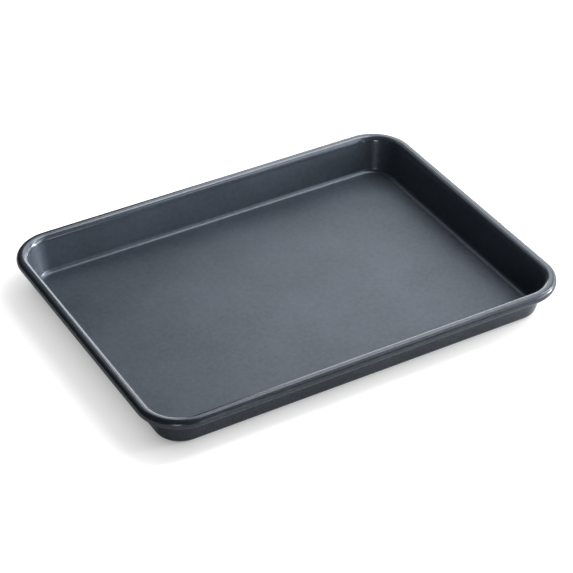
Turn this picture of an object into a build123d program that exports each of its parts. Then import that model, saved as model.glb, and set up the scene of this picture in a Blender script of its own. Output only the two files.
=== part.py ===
from build123d import *
from math import acos, cos, degrees, radians, sin
import os

# Jelly roll pan: a shallow rectangular baking tray pressed from one steel sheet.
# Its walls flare, its corners are round, and its edge is rolled outward round a steel wire.
# The origin is the centre of the underside. X runs along the long sides and Z is up.
# Lengths are in millimetres and angles in degrees.

# The pan's outside, measured over the rolled rim
PAN_LENGTH = 350.0
PAN_WIDTH = 264.0
PAN_HEIGHT = 30.5
CORNER_RADIUS = 34.0

# The sheet, the lean of its walls from upright, and the inside radius of the bend at its floor
SHEET_THICKNESS = 0.8
WALL_FLARE = 13.0
FLOOR_BEND_RADIUS = 4.0

# The rim's top: the rounded shoulder above the wall, and the narrow flat between it and the roll
SHOULDER_RADIUS = 5.0
RIM_FLAT = 0.4

# The wire in the rim, the room round it, and the slot between the sheet's rolled-in edge and the wall
WIRE_DIAMETER = 5.7
WIRE_CLEARANCE = 0.25
WIRE_END_GAP = 2.0
LIP_GAP = 1.0

# Sizes that follow from those above
WIRE_RADIUS = WIRE_DIAMETER / 2
ROLL_INNER_RADIUS = WIRE_RADIUS + WIRE_CLEARANCE
ROLL_OUTER_RADIUS = ROLL_INNER_RADIUS + SHEET_THICKNESS
ROLL_HEIGHT = PAN_HEIGHT - ROLL_OUTER_RADIUS
SHOULDER_INNER_RADIUS = SHOULDER_RADIUS - SHEET_THICKNESS
SHOULDER_HEIGHT = PAN_HEIGHT - SHOULDER_RADIUS
SHOULDER_INSET = ROLL_OUTER_RADIUS + RIM_FLAT
BEND_OUTER_RADIUS = FLOOR_BEND_RADIUS + SHEET_THICKNESS


def bend_inset():
    """How far inside the pan's outermost edge the flat floor ends and its bend starts."""
    lean = radians(WALL_FLARE)
    across_wall = SHOULDER_RADIUS + FLOOR_BEND_RADIUS
    down_wall = SHOULDER_HEIGHT - BEND_OUTER_RADIUS
    return SHOULDER_INSET + (across_wall + down_wall * sin(lean)) / cos(lean)


def roll_end_angle():
    """Where the roll stops, a slot short of the wall, as an angle round the roll's centre."""
    lean = radians(WALL_FLARE)
    up_to_roll = ROLL_HEIGHT - SHOULDER_HEIGHT
    roll_to_wall = SHOULDER_INNER_RADIUS + RIM_FLAT * cos(lean) - up_to_roll * sin(lean)
    slot_angle = degrees(acos((roll_to_wall - LIP_GAP) / ROLL_OUTER_RADIUS))
    return -180.0 - WALL_FLARE + slot_angle


def outline_at(inset):
    """The pan's rounded rectangle as seen from above, an even distance inside its outermost edge."""
    return RectangleRounded(PAN_LENGTH - 2 * inset, PAN_WIDTH - 2 * inset, CORNER_RADIUS - inset)


def front_section_plane(inset):
    """An upright plane across the middle of the front side, with its X outward and its Y up."""
    return Plane(origin=(0, inset - PAN_WIDTH / 2, 0), x_dir=(0, -1, 0), z_dir=(-1, 0, 0))


def on_circle(centre, radius, angle):
    """The point of a circle at an angle from its rightmost point."""
    return (centre[0] + radius * cos(radians(angle)), centre[1] + radius * sin(radians(angle)))


def arc(centre, radius, start, end):
    """The arc of a circle from one angle to another."""
    return ThreePointArc(*[on_circle(centre, radius, angle) for angle in (start, (start + end) / 2, end)])


def sheet_section():
    """The sheet cut across the front side: the floor's bend, the leaning wall and the rolled edge."""
    bend = (-bend_inset(), BEND_OUTER_RADIUS)
    shoulder = (-SHOULDER_INSET, SHOULDER_HEIGHT)
    roll = (-ROLL_OUTER_RADIUS, ROLL_HEIGHT)
    floor_angle = -90.0
    bend_end = -WALL_FLARE
    shoulder_start = 180.0 - WALL_FLARE
    top = 90.0
    roll_end = roll_end_angle()

    inner_face = [
        arc(bend, FLOOR_BEND_RADIUS, floor_angle, bend_end),
        Line(on_circle(bend, FLOOR_BEND_RADIUS, bend_end), on_circle(shoulder, SHOULDER_RADIUS, shoulder_start)),
        arc(shoulder, SHOULDER_RADIUS, shoulder_start, top),
        Line(on_circle(shoulder, SHOULDER_RADIUS, top), on_circle(roll, ROLL_OUTER_RADIUS, top)),
        arc(roll, ROLL_OUTER_RADIUS, top, roll_end),
    ]
    outer_face = [
        arc(roll, ROLL_INNER_RADIUS, roll_end, top),
        Line(on_circle(roll, ROLL_INNER_RADIUS, top), on_circle(shoulder, SHOULDER_INNER_RADIUS, top)),
        arc(shoulder, SHOULDER_INNER_RADIUS, top, shoulder_start),
        Line(on_circle(shoulder, SHOULDER_INNER_RADIUS, shoulder_start), on_circle(bend, BEND_OUTER_RADIUS, bend_end)),
        arc(bend, BEND_OUTER_RADIUS, bend_end, floor_angle),
    ]
    sheet_edges = [
        Line(inner_face[-1] @ 1, outer_face[0] @ 0),
        Line(outer_face[-1] @ 1, inner_face[0] @ 0),
    ]
    return make_face(Curve() + inner_face + outer_face + sheet_edges)


def make_pan_shell():
    """The pressed sheet: its section carried round the outline, with the flat floor inside it."""
    walls_and_rim = sweep(front_section_plane(0) * sheet_section(), path=outline_at(0).wire())
    floor = extrude(outline_at(bend_inset()), amount=SHEET_THICKNESS)
    return walls_and_rim + floor


def make_rim_wire():
    """The wire along the middle of the roll, bent into a loop whose two ends nearly meet at the back."""
    inset = ROLL_OUTER_RADIUS
    loop = sweep(front_section_plane(inset) * Circle(WIRE_RADIUS), path=outline_at(inset).wire())
    end_gap = Pos(0, PAN_WIDTH / 2 - inset, 0) * Box(WIRE_END_GAP, 2 * WIRE_DIAMETER, 2 * WIRE_DIAMETER)
    return Pos(0, 0, ROLL_HEIGHT) * (loop - end_gap)


PIECES = {
    "pan_shell": make_pan_shell,
    "rim_wire": make_rim_wire,
}

os.makedirs("parts", exist_ok=True)
for name, make_piece in PIECES.items():
    piece = make_piece()
    piece.label = name
    export_step(piece, f"parts/{name}.step")
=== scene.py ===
import math

import bpy
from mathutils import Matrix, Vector


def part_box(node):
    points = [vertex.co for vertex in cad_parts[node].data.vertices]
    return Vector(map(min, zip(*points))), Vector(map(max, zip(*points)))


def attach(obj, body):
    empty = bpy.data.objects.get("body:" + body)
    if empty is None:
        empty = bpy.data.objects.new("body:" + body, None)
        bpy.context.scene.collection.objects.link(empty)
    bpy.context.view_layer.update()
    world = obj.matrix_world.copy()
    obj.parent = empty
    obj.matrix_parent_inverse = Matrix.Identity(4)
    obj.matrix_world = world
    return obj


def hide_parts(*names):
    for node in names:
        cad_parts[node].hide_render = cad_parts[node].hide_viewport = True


# Jelly roll pan: the dressed model, its materials, studio floor, lights and camera.
# Lengths are in metres and angles in degrees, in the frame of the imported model.

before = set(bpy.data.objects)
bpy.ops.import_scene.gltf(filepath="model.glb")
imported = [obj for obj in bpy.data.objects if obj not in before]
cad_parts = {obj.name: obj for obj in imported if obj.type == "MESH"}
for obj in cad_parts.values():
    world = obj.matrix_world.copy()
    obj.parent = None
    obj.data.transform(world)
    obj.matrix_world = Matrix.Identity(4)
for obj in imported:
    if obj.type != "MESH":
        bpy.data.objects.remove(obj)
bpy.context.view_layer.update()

MM = 0.001
DEGREE = math.pi / 180

# The pressed sheet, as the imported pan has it
shell_low, shell_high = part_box("pan_shell")
PAN_LENGTH = shell_high[0] - shell_low[0]
PAN_WIDTH = shell_high[1] - shell_low[1]
PAN_HEIGHT = shell_high[2] - shell_low[2]
CORNER_RADIUS = 34.0 * MM
SHEET_THICKNESS = 0.8 * MM
WALL_FLARE = 13.0
FLOOR_BEND_RADIUS = 4.0 * MM
BEND_OUTER_RADIUS = FLOOR_BEND_RADIUS + SHEET_THICKNESS
SHOULDER_RADIUS = 5.0 * MM
SHOULDER_INNER_RADIUS = SHOULDER_RADIUS - SHEET_THICKNESS
SHOULDER_HEIGHT = PAN_HEIGHT - SHOULDER_RADIUS
RIM_FLAT = 0.4 * MM
ROLL_OUTER_RADIUS = 3.9 * MM
ROLL_INNER_RADIUS = ROLL_OUTER_RADIUS - SHEET_THICKNESS
ROLL_HEIGHT = PAN_HEIGHT - ROLL_OUTER_RADIUS
LIP_GAP = 1.0 * MM

# How finely the sheet's section is cut, and how closely its copies follow each other round the pan
BEND_STEPS = 14
SHOULDER_STEPS = 14
ROLL_STEPS = 44
WALL_STEPS = 6
RING_SPACING = 2.5 * MM
CORNER_STEPS = 64

# The strip of flat floor in the section, how near points are welded, and the turn that makes an edge crisp
FLAT_MARGIN = 1.5 * MM
WELD_DISTANCE = 0.001 * MM
CRISP_EDGE_ANGLE = 40.0

# The mark of the faces that look outwards: its name, and where it starts and is full,
# as the cosine of the angle between the face's normal and the way out
OUTER_SIDE = "outer_side"
OUTER_SIDE_FROM = -0.1
OUTER_SIDE_FULL = 0.3


# Node tree helpers

def add_node(tree, node_type, values=None, **properties):
    """A node with its properties set, and its input sockets' values by name or index."""
    node = tree.nodes.new(node_type)
    for name, value in properties.items():
        setattr(node, name, value)
    for key, value in (values or {}).items():
        node.inputs[key].default_value = value
    return node


def maths(tree, operation, values=None):
    """A Math node."""
    return add_node(tree, "ShaderNodeMath", values, operation=operation)


def vector_maths(tree, operation, values=None):
    """A Vector Math node."""
    return add_node(tree, "ShaderNodeVectorMath", values, operation=operation)


def map_range(tree, values=None, interpolation="LINEAR"):
    """A Map Range node, which goes from 0 to 1 between 0 and 1 where its values don't say otherwise."""
    return add_node(tree, "ShaderNodeMapRange", values, interpolation_type=interpolation)


def connect(tree, *pairs):
    """Links each (output, input) pair."""
    for output, target in pairs:
        tree.links.new(output, target)


def new_tree(name, kind, inputs, outputs):
    """A node group whose sockets are given as (name, socket type, default value)."""
    tree = bpy.data.node_groups.new(name, kind)
    for direction, sockets in (("INPUT", inputs), ("OUTPUT", outputs)):
        for socket_name, socket_type, default in sockets:
            socket = tree.interface.new_socket(socket_name, in_out=direction, socket_type=socket_type)
            if default is not None:
                socket.default_value = default
    return tree


def group_ends(tree):
    """The outputs that give a group's inputs, and the inputs that take its results."""
    return add_node(tree, "NodeGroupInput").outputs, add_node(tree, "NodeGroupOutput").inputs


# The pan's sheet

def on_circle(centre, radius, angle):
    """The point of a circle at an angle from its rightmost point."""
    return (centre[0] + radius * math.cos(angle * DEGREE), centre[1] + radius * math.sin(angle * DEGREE))


def arc(centre, radius, start, end, steps):
    """Points along an arc, both ends included."""
    return [on_circle(centre, radius, start + (end - start) * i / steps) for i in range(steps + 1)]


def between(start, end, steps):
    """Points that divide a straight stretch evenly, without its ends."""
    return [
        (start[0] + (end[0] - start[0]) * i / steps, start[1] + (end[1] - start[1]) * i / steps)
        for i in range(1, steps)
    ]


def sheet_section():
    """The sheet cut across one side, from the floor's top face round the rim to its underside.

    The first number is negative inside the pan's outermost edge, and the second is height.
    """
    lean = WALL_FLARE * DEGREE
    shoulder_inset = ROLL_OUTER_RADIUS + RIM_FLAT
    across_wall = SHOULDER_RADIUS + FLOOR_BEND_RADIUS
    down_wall = SHOULDER_HEIGHT - BEND_OUTER_RADIUS
    bend_inset = shoulder_inset + (across_wall + down_wall * math.sin(lean)) / math.cos(lean)
    bend = (-bend_inset, BEND_OUTER_RADIUS)
    shoulder = (-shoulder_inset, SHOULDER_HEIGHT)
    roll = (-ROLL_OUTER_RADIUS, ROLL_HEIGHT)
    floor_angle = -90.0
    top = 90.0
    wall_angle = 180.0 - WALL_FLARE
    up_to_roll = ROLL_HEIGHT - SHOULDER_HEIGHT
    roll_to_wall = SHOULDER_INNER_RADIUS + RIM_FLAT * math.cos(lean) - up_to_roll * math.sin(lean)
    slot_angle = math.acos((roll_to_wall - LIP_GAP) / ROLL_OUTER_RADIUS) / DEGREE
    roll_end = wall_angle - 360.0 + slot_angle

    floor_edge = -bend_inset - FLAT_MARGIN
    inner_bend = arc(bend, FLOOR_BEND_RADIUS, floor_angle, -WALL_FLARE, BEND_STEPS)
    inner_shoulder = arc(shoulder, SHOULDER_RADIUS, wall_angle, top, SHOULDER_STEPS)
    outer_roll = arc(roll, ROLL_OUTER_RADIUS, top, roll_end, ROLL_STEPS)
    inner_roll = arc(roll, ROLL_INNER_RADIUS, roll_end, top, ROLL_STEPS)
    outer_shoulder = arc(shoulder, SHOULDER_INNER_RADIUS, top, wall_angle, SHOULDER_STEPS)
    outer_bend = arc(bend, BEND_OUTER_RADIUS, -WALL_FLARE, floor_angle, BEND_STEPS)
    points = [(floor_edge, SHEET_THICKNESS)] + inner_bend
    points += between(inner_bend[-1], inner_shoulder[0], WALL_STEPS) + inner_shoulder + outer_roll
    points += inner_roll + outer_shoulder + between(outer_shoulder[-1], outer_bend[0], WALL_STEPS)
    return points + outer_bend + [(floor_edge, 0.0)]


def outward_facing(tree):
    """How far a point's face looks away from the pan's middle, from 0 inside to 1 outside."""
    place = add_node(tree, "GeometryNodeInputPosition")
    normal = add_node(tree, "GeometryNodeInputNormal")
    level = vector_maths(tree, "MULTIPLY", {1: (1.0, 1.0, 0.0)})
    outward = vector_maths(tree, "NORMALIZE")
    facing = vector_maths(tree, "DOT_PRODUCT")
    rise = map_range(tree, {"From Min": OUTER_SIDE_FROM, "From Max": OUTER_SIDE_FULL}, "SMOOTHSTEP")
    connect(
        tree,
        (place.outputs[0], level.inputs[0]),
        (level.outputs["Vector"], outward.inputs[0]),
        (outward.outputs["Vector"], facing.inputs[0]),
        (normal.outputs[0], facing.inputs[1]),
        (facing.outputs["Value"], rise.inputs["Value"]),
    )
    return rise.outputs["Result"]


def rim_outline(tree, given):
    """The pan's rounded rectangle as a curve with evenly spaced points."""
    outline = add_node(tree, "GeometryNodeCurvePrimitiveQuadrilateral")
    rounded = add_node(tree, "GeometryNodeFilletCurve", mode="POLY")
    spaced = add_node(tree, "GeometryNodeResampleCurve", mode="LENGTH")
    level = add_node(tree, "GeometryNodeSetCurveNormal", mode="Z_UP")
    connect(
        tree,
        (given["Length"], outline.inputs["Width"]),
        (given["Width"], outline.inputs["Height"]),
        (outline.outputs[0], rounded.inputs["Curve"]),
        (given["Corner Steps"], rounded.inputs["Count"]),
        (given["Corner Radius"], rounded.inputs["Radius"]),
        (rounded.outputs[0], spaced.inputs["Curve"]),
        (given["Ring Spacing"], spaced.inputs["Length"]),
        (spaced.outputs[0], level.inputs["Curve"]),
    )
    return level.outputs[0]


def floor_faces(tree, given, sides):
    """The floor's top and bottom faces, which fill the open edges of the swept sides."""
    faces = []
    neighbours = add_node(tree, "GeometryNodeInputMeshEdgeNeighbors")
    open_edge = add_node(tree, "FunctionNodeCompare", {"B": 1}, data_type="INT", operation="EQUAL")
    place = add_node(tree, "GeometryNodeInputPosition")
    height = add_node(tree, "ShaderNodeSeparateXYZ")
    middle = maths(tree, "MULTIPLY", {1: 0.5})
    connect(
        tree,
        (neighbours.outputs[0], open_edge.inputs["A"]),
        (place.outputs[0], height.inputs[0]),
        (given["Sheet Thickness"], middle.inputs[0]),
    )
    for comparison in ("GREATER_THAN", "LESS_THAN"):
        side = add_node(tree, "FunctionNodeCompare", data_type="FLOAT", operation=comparison)
        both = add_node(tree, "FunctionNodeBooleanMath", operation="AND")
        loop = add_node(tree, "GeometryNodeMeshToCurve")
        face = add_node(tree, "GeometryNodeFillCurve", mode="NGONS")
        connect(
            tree,
            (height.outputs["Z"], side.inputs["A"]),
            (middle.outputs[0], side.inputs["B"]),
            (open_edge.outputs[0], both.inputs[0]),
            (side.outputs[0], both.inputs[1]),
            (sides, loop.inputs["Mesh"]),
            (both.outputs[0], loop.inputs["Selection"]),
            (loop.outputs[0], face.inputs["Curve"]),
        )
        faces.append(face.outputs[0])

    # A filled curve lies at height 0 and faces up
    top, bottom = faces
    offset = add_node(tree, "ShaderNodeCombineXYZ")
    raised = add_node(tree, "GeometryNodeTransform")
    turned = add_node(tree, "GeometryNodeFlipFaces")
    connect(
        tree,
        (given["Sheet Thickness"], offset.inputs["Z"]),
        (top, raised.inputs["Geometry"]),
        (offset.outputs[0], raised.inputs["Translation"]),
        (bottom, turned.inputs["Mesh"]),
    )
    return raised.outputs[0], turned.outputs[0]


# The sweep's sizes, as the inputs of its tree
SWEEP_SIZES = (
    ("Length", "NodeSocketFloat", PAN_LENGTH),
    ("Width", "NodeSocketFloat", PAN_WIDTH),
    ("Corner Radius", "NodeSocketFloat", CORNER_RADIUS),
    ("Corner Steps", "NodeSocketInt", CORNER_STEPS),
    ("Ring Spacing", "NodeSocketFloat", RING_SPACING),
    ("Sheet Thickness", "NodeSocketFloat", SHEET_THICKNESS),
    ("Weld Distance", "NodeSocketFloat", WELD_DISTANCE),
    ("Crisp Edge Angle", "NodeSocketFloat", CRISP_EDGE_ANGLE * DEGREE),
)


def swept_sheet_tree():
    """Carries a section round the pan's outline and closes the floor's two faces inside it."""
    tree = new_tree(
        "swept_sheet",
        "GeometryNodeTree",
        [
            ("Section", "NodeSocketGeometry", None),
            *SWEEP_SIZES,
            ("Finish", "NodeSocketMaterial", None),
        ],
        [("Sheet", "NodeSocketGeometry", None)],
    )
    given, result = group_ends(tree)

    # The sweep lays a section's second coordinate downwards, so it is mirrored first
    section = add_node(tree, "GeometryNodeMeshToCurve")
    upright = add_node(tree, "GeometryNodeTransform", {"Scale": (1.0, -1.0, 1.0)})
    sides = add_node(tree, "GeometryNodeCurveToMesh")
    connect(
        tree,
        (given["Section"], section.inputs["Mesh"]),
        (section.outputs[0], upright.inputs["Geometry"]),
        (rim_outline(tree, given), sides.inputs["Curve"]),
        (upright.outputs[0], sides.inputs["Profile Curve"]),
    )

    joined = add_node(tree, "GeometryNodeJoinGeometry")
    welded = add_node(tree, "GeometryNodeMergeByDistance")
    smooth = add_node(tree, "GeometryNodeSetShadeSmooth", domain="FACE")
    turn = add_node(tree, "GeometryNodeInputMeshEdgeAngle")
    sharp = add_node(tree, "FunctionNodeCompare", data_type="FLOAT", operation="GREATER_THAN")
    crisp = add_node(tree, "GeometryNodeSetShadeSmooth", {"Shade Smooth": False}, domain="EDGE")
    marked = add_node(
        tree, "GeometryNodeStoreNamedAttribute", {"Name": OUTER_SIDE}, data_type="FLOAT", domain="POINT"
    )
    real = add_node(tree, "GeometryNodeRealizeInstances")
    finished = add_node(tree, "GeometryNodeSetMaterial")
    for part in (sides.outputs[0], *floor_faces(tree, given, sides.outputs[0])):
        connect(tree, (part, joined.inputs[0]))
    connect(
        tree,
        (joined.outputs[0], welded.inputs["Geometry"]),
        (given["Weld Distance"], welded.inputs["Distance"]),
        (welded.outputs[0], smooth.inputs["Geometry"]),
        (turn.outputs["Unsigned Angle"], sharp.inputs["A"]),
        (given["Crisp Edge Angle"], sharp.inputs["B"]),
        (smooth.outputs[0], crisp.inputs["Geometry"]),
        (sharp.outputs[0], crisp.inputs["Selection"]),
        (crisp.outputs[0], marked.inputs["Geometry"]),
        (outward_facing(tree), marked.inputs["Value"]),
        (marked.outputs[0], real.inputs["Geometry"]),
        (real.outputs[0], finished.inputs["Geometry"]),
        (given["Finish"], finished.inputs["Material"]),
        (finished.outputs[0], result["Sheet"]),
    )
    return tree


def set_inputs(modifier, values):
    """Sets a nodes modifier's inputs by the names of the tree's sockets."""
    for item in modifier.node_group.interface.items_tree:
        if item.in_out == "INPUT" and item.name in values:
            modifier[item.identifier] = values[item.name]


def plain_mesh(piece, finish):
    """Turns what the piece's modifiers make into its own mesh, of one finish, and removes them."""
    shown = piece.evaluated_get(bpy.context.evaluated_depsgraph_get())
    finished = bpy.data.meshes.new_from_object(shown)
    finished.name = piece.name
    finished.materials.clear()
    finished.materials.append(finish)
    finished.polygons.foreach_set("material_index", [0] * len(finished.polygons))
    piece.modifiers.clear()
    piece.data = finished


def make_pan_sheet(finish):
    """The pressed sheet with its rolled rim, as one smooth mesh."""
    points = [(x, y, 0.0) for x, y in sheet_section()]
    section = bpy.data.meshes.new("sheet_section")
    section.from_pydata(points, [(i, i + 1) for i in range(len(points) - 1)], [])
    piece = bpy.data.objects.new("pan_sheet", section)
    bpy.context.scene.collection.objects.link(piece)
    sweep = piece.modifiers.new("sweep", "NODES")
    sweep.node_group = swept_sheet_tree()
    set_inputs(sweep, {name: size for name, _, size in SWEEP_SIZES})
    set_inputs(sweep, {"Finish": finish})
    plain_mesh(piece, finish)
    return piece


# Materials

def new_material(name):
    """An empty node material and its Principled shader, linked to the output."""
    material = bpy.data.materials.new(name)
    material.use_nodes = True
    tree = material.node_tree
    tree.nodes.clear()
    shader = add_node(tree, "ShaderNodeBsdfPrincipled")
    output = add_node(tree, "ShaderNodeOutputMaterial")
    connect(tree, (shader.outputs[0], output.inputs["Surface"]))
    return material, tree, shader


# Each pattern's size input, its output, and its noise's detail and roughness
MOTTLE_PATTERNS = (
    ("Cloud Size", "Clouds", 2.0, 0.5),
    ("Blotch Size", "Blotches", 3.0, 0.6),
    ("Grain Size", "Grain", 1.0, 0.5),
)


def surface_mottle_group():
    """Cloudy patches, small blotches and fine grain, each a value round 0.5."""
    tree = new_tree(
        "surface_mottle",
        "ShaderNodeTree",
        [
            ("Position", "NodeSocketVector", None),
            ("Cloud Size", "NodeSocketFloat", 50.0 * MM),
            ("Blotch Size", "NodeSocketFloat", 4.0 * MM),
            ("Grain Size", "NodeSocketFloat", 0.8 * MM),
        ],
        [(pattern, "NodeSocketFloat", None) for _, pattern, _, _ in MOTTLE_PATTERNS],
    )
    given, result = group_ends(tree)
    for size, pattern, detail, roughness in MOTTLE_PATTERNS:
        per_metre = maths(tree, "DIVIDE", {0: 1.0})
        noise = add_node(tree, "ShaderNodeTexNoise", {"Detail": detail, "Roughness": roughness})
        connect(
            tree,
            (given[size], per_metre.inputs[1]),
            (given["Position"], noise.inputs["Vector"]),
            (per_metre.outputs[0], noise.inputs["Scale"]),
            (noise.outputs["Fac"], result[pattern]),
        )
    return tree


def height_band_group():
    """A mask that rises from 0 to 1 between two heights."""
    tree = new_tree(
        "height_band",
        "ShaderNodeTree",
        [
            ("Position", "NodeSocketVector", None),
            ("Low", "NodeSocketFloat", 20.0 * MM),
            ("High", "NodeSocketFloat", 25.0 * MM),
        ],
        [("Mask", "NodeSocketFloat", None)],
    )
    given, result = group_ends(tree)
    split = add_node(tree, "ShaderNodeSeparateXYZ")
    rise = map_range(tree, interpolation="SMOOTHSTEP")
    connect(
        tree,
        (given["Position"], split.inputs[0]),
        (split.outputs["Z"], rise.inputs["Value"]),
        (given["Low"], rise.inputs["From Min"]),
        (given["High"], rise.inputs["From Max"]),
        (rise.outputs["Result"], result["Mask"]),
    )
    return tree


def uneven_group():
    """A value that wavers by an amount as its pattern goes from 0 to 1."""
    tree = new_tree(
        "uneven",
        "ShaderNodeTree",
        [
            ("Value", "NodeSocketFloat", 0.5),
            ("Pattern", "NodeSocketFloat", 0.5),
            ("Amount", "NodeSocketFloat", 0.1),
        ],
        [("Value", "NodeSocketFloat", None)],
    )
    given, result = group_ends(tree)
    centred = maths(tree, "SUBTRACT", {1: 0.5})
    scaled = maths(tree, "MULTIPLY")
    total = maths(tree, "ADD")
    connect(
        tree,
        (given["Pattern"], centred.inputs[0]),
        (centred.outputs[0], scaled.inputs[0]),
        (given["Amount"], scaled.inputs[1]),
        (scaled.outputs[0], total.inputs[0]),
        (given["Value"], total.inputs[1]),
        (total.outputs[0], result["Value"]),
    )
    return tree


def place_group(tree, group, values=None):
    """A copy of a shared node group with its own values."""
    return add_node(tree, "ShaderNodeGroup", values, node_tree=group)


def mix_colours(tree, first, second, factor):
    """The output that goes from the first colour to the second with the factor."""
    mix = add_node(tree, "ShaderNodeMix", data_type="RGBA")
    colours = [socket for socket in mix.inputs if socket.type == "RGBA"]
    for socket, colour in zip(colours, (first, second)):
        socket.default_value = colour
    connect(tree, (factor, mix.inputs[0]))
    return [socket for socket in mix.outputs if socket.type == "RGBA"][0]


# The coating's colour goes from dark to pale with its tone, which blotches and clouds make uneven; the low
# tone on outward faces is painted shade
COATING_DARK = (0.0355, 0.042, 0.054, 1.0)
COATING_PALE = (0.0755, 0.096, 0.124, 1.0)
COATING_METALLIC = 0.4
INSIDE_TONE, PAINTED_SHADE_OUTSIDE_TONE = 0.80, 0.14
BLOTCH_AMOUNT, CLOUD_AMOUNT = 0.9, 0.9
COATING_MARKS = {"Cloud Size": 60.0 * MM, "Blotch Size": 3.5 * MM, "Grain Size": 0.7 * MM}
COATING_GRAIN = {"Strength": 0.03, "Distance": 0.05 * MM}

# Its roughness changes from the floor's to the bend's, the wall's and the rim's, each between two heights
FLOOR_ROUGHNESS = 0.40
BEND_ROUGHNESS = 0.28
WALL_ROUGHNESS = 0.36
RIM_ROUGHNESS = 0.20
BEND_HEIGHTS = {"Low": 0.85 * MM, "High": 1.2 * MM}
WALL_HEIGHTS = {"Low": 3.0 * MM, "High": 8.0 * MM}
RIM_HEIGHTS = {"Low": 23.0 * MM, "High": 28.0 * MM}
OUTSIDE_ROUGHNESS = 0.24
ROUGHNESS_WAVER = 0.05

# The extra gloss on the rim's inner side
RIM_GLOSS = 0.5
RIM_GLOSS_ROUGHNESS = 0.12


def nonstick_coating(mottle, height_band, uneven):
    """Dark blue-grey satin coating, faintly mottled, glossiest round the rim, with painted shade that
    darkens its colour on the outer side.
    """
    material, tree, shader = new_material("dark_nonstick_finish")
    place = add_node(tree, "ShaderNodeTexCoord").outputs["Object"]
    outside = add_node(tree, "ShaderNodeAttribute", attribute_name=OUTER_SIDE).outputs["Fac"]
    marks = place_group(tree, mottle, COATING_MARKS)
    bend = place_group(tree, height_band, BEND_HEIGHTS)
    wall = place_group(tree, height_band, WALL_HEIGHTS)
    rim = place_group(tree, height_band, RIM_HEIGHTS)
    for placed in (marks, bend, wall, rim):
        connect(tree, (place, placed.inputs["Position"]))

    # Faces that look outwards get the low tone: painted shade on the outer walls and bead
    tone_with_painted_outside_shade = map_range(tree, {"To Min": INSIDE_TONE, "To Max": PAINTED_SHADE_OUTSIDE_TONE})
    blotchy_tone = place_group(tree, uneven, {"Amount": BLOTCH_AMOUNT})
    cloudy_tone = place_group(tree, uneven, {"Amount": CLOUD_AMOUNT})
    colour = mix_colours(tree, COATING_DARK, COATING_PALE, cloudy_tone.outputs["Value"])
    connect(
        tree,
        (outside, tone_with_painted_outside_shade.inputs["Value"]),
        (tone_with_painted_outside_shade.outputs["Result"], blotchy_tone.inputs["Value"]),
        (marks.outputs["Blotches"], blotchy_tone.inputs["Pattern"]),
        (blotchy_tone.outputs["Value"], cloudy_tone.inputs["Value"]),
        (marks.outputs["Clouds"], cloudy_tone.inputs["Pattern"]),
        (colour, shader.inputs["Base Color"]),
    )

    floor_to_bend = map_range(tree, {"To Min": FLOOR_ROUGHNESS, "To Max": BEND_ROUGHNESS})
    bend_to_wall = map_range(tree, {"To Max": WALL_ROUGHNESS})
    wall_to_rim = map_range(tree, {"To Max": RIM_ROUGHNESS})
    inside_to_outside = map_range(tree, {"To Max": OUTSIDE_ROUGHNESS})
    roughness = place_group(tree, uneven, {"Amount": ROUGHNESS_WAVER})
    connect(
        tree,
        (bend.outputs["Mask"], floor_to_bend.inputs["Value"]),
        (floor_to_bend.outputs["Result"], bend_to_wall.inputs["To Min"]),
        (wall.outputs["Mask"], bend_to_wall.inputs["Value"]),
        (bend_to_wall.outputs["Result"], wall_to_rim.inputs["To Min"]),
        (rim.outputs["Mask"], wall_to_rim.inputs["Value"]),
        (wall_to_rim.outputs["Result"], inside_to_outside.inputs["To Min"]),
        (outside, inside_to_outside.inputs["Value"]),
        (inside_to_outside.outputs["Result"], roughness.inputs["Value"]),
        (marks.outputs["Clouds"], roughness.inputs["Pattern"]),
        (roughness.outputs["Value"], shader.inputs["Roughness"]),
    )

    inside = maths(tree, "SUBTRACT", {0: 1.0})
    inner_rim = maths(tree, "MULTIPLY")
    gloss = maths(tree, "MULTIPLY", {1: RIM_GLOSS})
    bump = add_node(tree, "ShaderNodeBump", COATING_GRAIN)
    connect(
        tree,
        (outside, inside.inputs[1]),
        (inside.outputs[0], inner_rim.inputs[0]),
        (rim.outputs["Mask"], inner_rim.inputs[1]),
        (inner_rim.outputs[0], gloss.inputs[0]),
        (gloss.outputs[0], shader.inputs["Coat Weight"]),
        (marks.outputs["Grain"], bump.inputs["Height"]),
        (bump.outputs["Normal"], shader.inputs["Normal"]),
    )
    shader.inputs["Metallic"].default_value = COATING_METALLIC
    shader.inputs["Coat Roughness"].default_value = RIM_GLOSS_ROUGHNESS
    return material


# The wire's bare steel
WIRE_BRIGHT = (0.60, 0.60, 0.61, 1.0)
WIRE_DULL = (0.42, 0.42, 0.43, 1.0)
WIRE_METALLIC = 1.0
WIRE_ROUGHNESS = {"Value": 0.38, "Amount": 0.15}
WIRE_MARKS = {"Cloud Size": 20.0 * MM, "Blotch Size": 2.0 * MM, "Grain Size": 0.3 * MM}
WIRE_GRAIN = {"Strength": 0.1, "Distance": 0.02 * MM}


def drawn_wire(mottle, uneven):
    """Plain drawn steel wire with a dull patchy skin."""
    material, tree, shader = new_material("drawn_wire_finish")
    place = add_node(tree, "ShaderNodeTexCoord").outputs["Object"]
    marks = place_group(tree, mottle, WIRE_MARKS)
    roughness = place_group(tree, uneven, WIRE_ROUGHNESS)
    bump = add_node(tree, "ShaderNodeBump", WIRE_GRAIN)
    colour = mix_colours(tree, WIRE_DULL, WIRE_BRIGHT, marks.outputs["Blotches"])
    connect(
        tree,
        (place, marks.inputs["Position"]),
        (marks.outputs["Clouds"], roughness.inputs["Pattern"]),
        (marks.outputs["Grain"], bump.inputs["Height"]),
        (colour, shader.inputs["Base Color"]),
        (roughness.outputs["Value"], shader.inputs["Roughness"]),
        (bump.outputs["Normal"], shader.inputs["Normal"]),
    )
    shader.inputs["Metallic"].default_value = WIRE_METALLIC
    return material


# Studio floor

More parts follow.
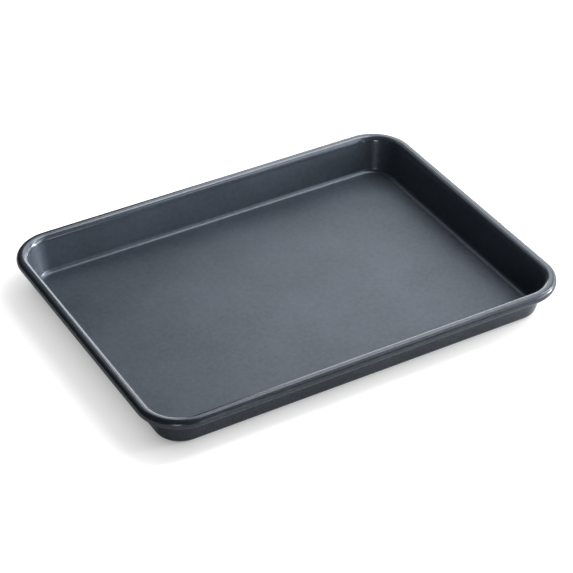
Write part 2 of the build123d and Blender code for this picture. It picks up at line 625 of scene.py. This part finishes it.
WHITE = (1.0, 1.0, 1.0, 1.0)
STUDIO_FLOOR_COLOUR = (0.74, 0.74, 0.74, 1.0)
STUDIO_FLOOR_ROUGHNESS = 0.9
STUDIO_FLOOR_HALF_SIZE = 6.0
STUDIO_FLOOR_DROP = 0.2 * MM

# The floor's lift to white: weak at the pan's foot, a painted shadow on top of the lamps' own shadow, and
# almost full further away
PAINTED_SHADOW_LIFT_AT_FOOT, LIFT_AWAY = 0.07, 0.97
LIFT_REACH = 70.0 * MM
LIFT_EASE = 0.4
MIRRORED_LIFT_SHARE = 0.2
FOOT_CORNER_RADIUS = 16.0 * MM
FOOT_CORNER_CENTRE = (0.141, 0.098, 0.0)


def seen_directly(tree, ray):
    """1 for a ray from the camera or through glass, and else 0."""
    seen = maths(tree, "MAXIMUM")
    connect(
        tree,
        (ray.outputs["Is Camera Ray"], seen.inputs[0]),
        (ray.outputs["Is Transmission Ray"], seen.inputs[1]),
    )
    return seen.outputs[0]


def foot_distance(tree):
    """The distance on the floor from the rectangle between the centres of the foot's round corners."""
    place = add_node(tree, "ShaderNodeTexCoord").outputs["Object"]
    folded = vector_maths(tree, "ABSOLUTE")
    beyond = vector_maths(tree, "SUBTRACT", {1: FOOT_CORNER_CENTRE})
    outside = vector_maths(tree, "MAXIMUM", {1: (0.0, 0.0, 0.0)})
    distance = vector_maths(tree, "LENGTH")
    connect(
        tree,
        (place, folded.inputs[0]),
        (folded.outputs["Vector"], beyond.inputs[0]),
        (beyond.outputs["Vector"], outside.inputs[0]),
        (outside.outputs["Vector"], distance.inputs[0]),
    )
    return distance.outputs["Value"]


def studio_floor_finish():
    """Matt white, lifted towards full white where it is seen, and less where it is mirrored, with a painted
    shadow where the lift is weak near the pan's foot.
    """
    material, tree, shader = new_material("studio_floor")
    shader.inputs["Base Color"].default_value = STUDIO_FLOOR_COLOUR
    shader.inputs["Roughness"].default_value = STUDIO_FLOOR_ROUGHNESS
    shader.inputs["Specular IOR Level"].default_value = 0.0
    shader.inputs["Emission Color"].default_value = WHITE
    ray = add_node(tree, "ShaderNodeLightPath")
    mirrored = maths(tree, "MULTIPLY", {1: MIRRORED_LIFT_SHARE})
    seen_or_mirrored = maths(tree, "MAXIMUM")
    # The lift grows with the distance from the pan's foot, which paints a shadow round the foot
    share_of_reach = map_range(
        tree, {"From Min": FOOT_CORNER_RADIUS, "From Max": FOOT_CORNER_RADIUS + LIFT_REACH}
    )
    eased = maths(tree, "POWER", {1: LIFT_EASE})
    lift_with_painted_shadow = map_range(tree, {"To Min": PAINTED_SHADOW_LIFT_AT_FOOT, "To Max": LIFT_AWAY})
    lift = maths(tree, "MULTIPLY")
    connect(
        tree,
        (ray.outputs["Is Glossy Ray"], mirrored.inputs[0]),
        (seen_directly(tree, ray), seen_or_mirrored.inputs[0]),
        (mirrored.outputs[0], seen_or_mirrored.inputs[1]),
        (foot_distance(tree), share_of_reach.inputs["Value"]),
        (share_of_reach.outputs["Result"], eased.inputs[0]),
        (eased.outputs[0], lift_with_painted_shadow.inputs["Value"]),
        (seen_or_mirrored.outputs[0], lift.inputs[0]),
        (lift_with_painted_shadow.outputs["Result"], lift.inputs[1]),
        (lift.outputs[0], shader.inputs["Emission Strength"]),
    )
    return material


def make_floor():
    """A plain white floor just under the pan."""
    half = STUDIO_FLOOR_HALF_SIZE
    corners = [(-half, -half, 0), (half, -half, 0), (half, half, 0), (-half, half, 0)]
    mesh = bpy.data.meshes.new("studio_floor")
    mesh.from_pydata(corners, [], [(0, 1, 2, 3)])
    mesh.materials.append(studio_floor_finish())
    floor = bpy.data.objects.new("studio_floor", mesh)
    bpy.context.scene.collection.objects.link(floor)
    floor.location.z = -STUDIO_FLOOR_DROP


# Lights

SOFTBOX_DISTANCE = 1.3
WORLD_STRENGTH = 0.03

# Each softbox's name, azimuth, elevation, width and height in metres, and radiance
SOFTBOXES = (
    ("right_front_low", 55.0, 14.0, (0.80, 0.50), 5.0),
    ("right_front_high", 60.0, 40.0, (1.00, 0.70), 1.8),
    ("right_low", 92.0, 14.0, (0.90, 0.50), 3.0),
    ("right_tall_strip", 80.0, 32.0, (0.08, 0.80), 30.0),
    ("right_low_strip", 68.0, 7.5, (0.18, 0.20), 72.0),
    ("overhead", 100.0, 66.0, (0.60, 0.50), 5.0),
    ("back_right_low", 137.0, 14.0, (1.00, 0.50), 3.0),
    ("back_right_high", 130.0, 45.0, (1.10, 0.80), 2.0),
    ("back_left_high", -170.0, 48.0, (0.50, 0.35), 0.8),
    ("front_strip", 12.0, 10.0, (0.22, 0.40), 2.4),
    ("front_left_strip", -37.0, 10.0, (0.28, 0.45), 6.0),
    ("front_right_high", 34.0, 42.0, (0.40, 0.30), 1.0),
)


def away_from_pan(azimuth, elevation):
    """A direction from the pan, level at elevation 0: azimuth 0 is the front (-Y) and 90 the right (+X)."""
    level = math.cos(elevation * DEGREE)
    right = math.sin(azimuth * DEGREE) * level
    back = -math.cos(azimuth * DEGREE) * level
    return Vector((right, back, math.sin(elevation * DEGREE)))


def softbox(name, azimuth, elevation, size, radiance):
    """A rectangular area light of a given radiance that faces the pan and isn't seen by the camera."""
    direction = away_from_pan(azimuth, elevation)
    data = bpy.data.lights.new(name, "AREA")
    data.shape = "RECTANGLE"
    data.size, data.size_y = size
    data.energy = radiance * math.pi * size[0] * size[1]
    lamp = bpy.data.objects.new(name, data)
    lamp.location = direction * SOFTBOX_DISTANCE
    lamp.rotation_euler = direction.to_track_quat("Z", "Y").to_euler()
    lamp.visible_camera = False
    bpy.context.scene.collection.objects.link(lamp)


def make_world():
    """A dim white room that is seen at the background's full white."""
    world = bpy.data.worlds.new("studio")
    bpy.context.scene.world = world
    world.use_nodes = True
    tree = world.node_tree
    background = tree.nodes["Background"]
    background.inputs["Color"].default_value = WHITE
    ray = add_node(tree, "ShaderNodeLightPath")
    strength = maths(tree, "MAXIMUM", {1: WORLD_STRENGTH})
    connect(
        tree,
        (seen_directly(tree, ray), strength.inputs[0]),
        (strength.outputs[0], background.inputs["Strength"]),
    )


# Camera, at the photograph's viewing angle

CAMERA_AZIMUTH = -30.02
CAMERA_ELEVATION = 35.97
CAMERA_DISTANCE = 1.60154
CAMERA_TARGET = (0.00722, 0.00953, 0.0)
FOCAL_PIXELS = 2074.97
IMAGE_PIXELS = 573
SENSOR_MILLIMETRES = 36.0


def make_camera():
    """A level camera that looks down at the pan from its front left."""
    direction = away_from_pan(CAMERA_AZIMUTH, CAMERA_ELEVATION)
    data = bpy.data.cameras.new("camera")
    data.sensor_width = SENSOR_MILLIMETRES
    data.lens = SENSOR_MILLIMETRES * FOCAL_PIXELS / IMAGE_PIXELS
    camera = bpy.data.objects.new("camera", data)
    camera.location = Vector(CAMERA_TARGET) + direction * CAMERA_DISTANCE
    camera.rotation_mode = "QUATERNION"
    camera.rotation_quaternion = (-direction).to_track_quat("-Z", "Y")
    bpy.context.scene.collection.objects.link(camera)
    bpy.context.scene.camera = camera


# The scene

mottle = surface_mottle_group()
height_band = height_band_group()
uneven = uneven_group()

pan_sheet = make_pan_sheet(nonstick_coating(mottle, height_band, uneven))
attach(pan_sheet, "root")
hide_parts("pan_shell")

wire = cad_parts["rim_wire"]
wire.data.materials.clear()
wire.data.materials.append(drawn_wire(mottle, uneven))

make_floor()
for settings in SOFTBOXES:
    softbox(*settings)
make_world()
make_camera()
bpy.context.scene.view_settings.view_transform = "Standard"
